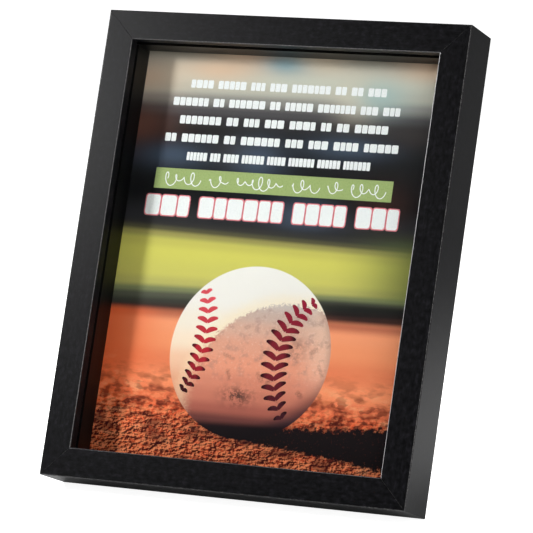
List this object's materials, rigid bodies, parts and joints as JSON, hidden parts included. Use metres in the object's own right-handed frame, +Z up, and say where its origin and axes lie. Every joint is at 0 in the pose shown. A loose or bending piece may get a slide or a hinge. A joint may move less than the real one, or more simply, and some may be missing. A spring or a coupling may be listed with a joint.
{
  "type": "shadow box",
  "caption": "Deep black shadow box frame with a glass front, a print set back behind spacers and a fold-out easel leg, leaning back.",
  "frame": {"origin": "on the surface the frame stands on, midway across its width and midway between its front arris and the back of the leg's foot", "axes": "+X to the right seen from the front, +Y from the glass towards the easel, +Z up; the frame leans back 19.7 degrees"},
  "size_m": [0.231, 0.166, 0.2741],
  "materials": {
    "black_foil": "satin black wood-grain foil over fibreboard",
    "nail_steel": "plain steel, slightly dull",
    "clear_glass": "clear float glass with polished faces",
    "spacer_strip": "semi-gloss black",
    "printed_paper": "semi-gloss photographic print",
    "grey_board": "plain greyboard",
    "black_hardboard": "hardboard with black textured paper",
    "screw_steel": "zinc-plated",
    "zinc_steel": "zinc-plated pressed steel",
    "rivet_brass": "brass-plated",
    "bumper_rubber": "soft matt rubber"
  },
  "bodies": {
    "frame": {"art_print": "printed_paper", "back_panel": "black_hardboard", "bottom_rail": "black_foil", "bumper_left": "bumper_rubber", "bumper_right": "bumper_rubber", "glass_pane": "clear_glass", "hanger_rivet": "rivet_brass", "hanger_strap": "zinc_steel", "hinge_fixed_leaf": "zinc_steel", "hinge_pin": "zinc_steel", "hinge_rivet_left": "rivet_brass", "hinge_rivet_right": "rivet_brass", "left_rail": "black_foil", "mounting_board": "grey_board", "right_rail": "black_foil", "spacer_bottom": "spacer_strip", "spacer_left": "spacer_strip", "spacer_right": "spacer_strip", "spacer_top": "spacer_strip", "top_rail": "black_foil", "turn_screw_1": "screw_steel", "turn_screw_2": "screw_steel", "turn_screw_3": "screw_steel", "turn_screw_4": "screw_steel", "turn_screw_5": "screw_steel", "turn_screw_6": "screw_steel", "turn_screw_7": "screw_steel", "turn_screw_8": "screw_steel", "v_nail_bottom_left": "nail_steel", "v_nail_bottom_right": "nail_steel", "v_nail_top_left": "nail_steel", "v_nail_top_right": "nail_steel"},
    "leg": {"easel_leg": "black_hardboard", "hinge_moving_leaf": "zinc_steel", "leg_rivet_upper": "rivet_brass", "leg_rivet_lower": "rivet_brass"},
    "ring": {"hanger_ring": "zinc_steel"},
    "turn_button_1": {"turn_button_1": "zinc_steel"},
    "turn_button_2": {"turn_button_2": "zinc_steel"},
    "turn_button_3": {"turn_button_3": "zinc_steel"},
    "turn_button_4": {"turn_button_4": "zinc_steel"},
    "turn_button_5": {"turn_button_5": "zinc_steel"},
    "turn_button_6": {"turn_button_6": "zinc_steel"},
    "turn_button_7": {"turn_button_7": "zinc_steel"},
    "turn_button_8": {"turn_button_8": "zinc_steel"}
  },
  "joints": [
    {"name": "easel_hinge", "type": "hinge", "parent": "frame", "child": "leg", "pos_m": [0, 0.01838, 0.19199], "axis": [1, 0, 0], "range_deg": [-38, 0]},
    {"name": "hanger_pivot", "type": "hinge", "parent": "frame", "child": "ring", "pos_m": [0, 0.03471, 0.23819], "axis": [1, 0, 0], "range_deg": [-19, 160]},
    {"name": "turn_button_1_pivot", "type": "hinge", "parent": "frame", "child": "turn_button_1", "pos_m": [-0.07, -0.0811, 0.0165], "axis": [0, 0.9415, -0.3371], "range_deg": [-90, 90]},
    {"name": "turn_button_2_pivot", "type": "hinge", "parent": "frame", "child": "turn_button_2", "pos_m": [0.07, -0.0811, 0.0165], "axis": [0, 0.9415, -0.3371], "range_deg": [-90, 90]},
    {"name": "turn_button_3_pivot", "type": "hinge", "parent": "frame", "child": "turn_button_3", "pos_m": [-0.10925, -0.0141, 0.20362], "axis": [0, 0.9415, -0.3371], "range_deg": [-90, 90]},
    {"name": "turn_button_4_pivot", "type": "hinge", "parent": "frame", "child": "turn_button_4", "pos_m": [-0.10925, -0.05792, 0.08123], "axis": [0, 0.9415, -0.3371], "range_deg": [-90, 90]},
    {"name": "turn_button_5_pivot", "type": "hinge", "parent": "frame", "child": "turn_button_5", "pos_m": [0.07, 0.00908, 0.26835], "axis": [0, 0.9415, -0.3371], "range_deg": [-90, 90]},
    {"name": "turn_button_6_pivot", "type": "hinge", "parent": "frame", "child": "turn_button_6", "pos_m": [-0.07, 0.00908, 0.26835], "axis": [0, 0.9415, -0.3371], "range_deg": [-90, 90]},
    {"name": "turn_button_7_pivot", "type": "hinge", "parent": "frame", "child": "turn_button_7", "pos_m": [0.10925, -0.05792, 0.08123], "axis": [0, 0.9415, -0.3371], "range_deg": [-90, 90]},
    {"name": "turn_button_8_pivot", "type": "hinge", "parent": "frame", "child": "turn_button_8", "pos_m": [0.10925, -0.0141, 0.20362], "axis": [0, 0.9415, -0.3371], "range_deg": [-90, 90]}
  ]
}
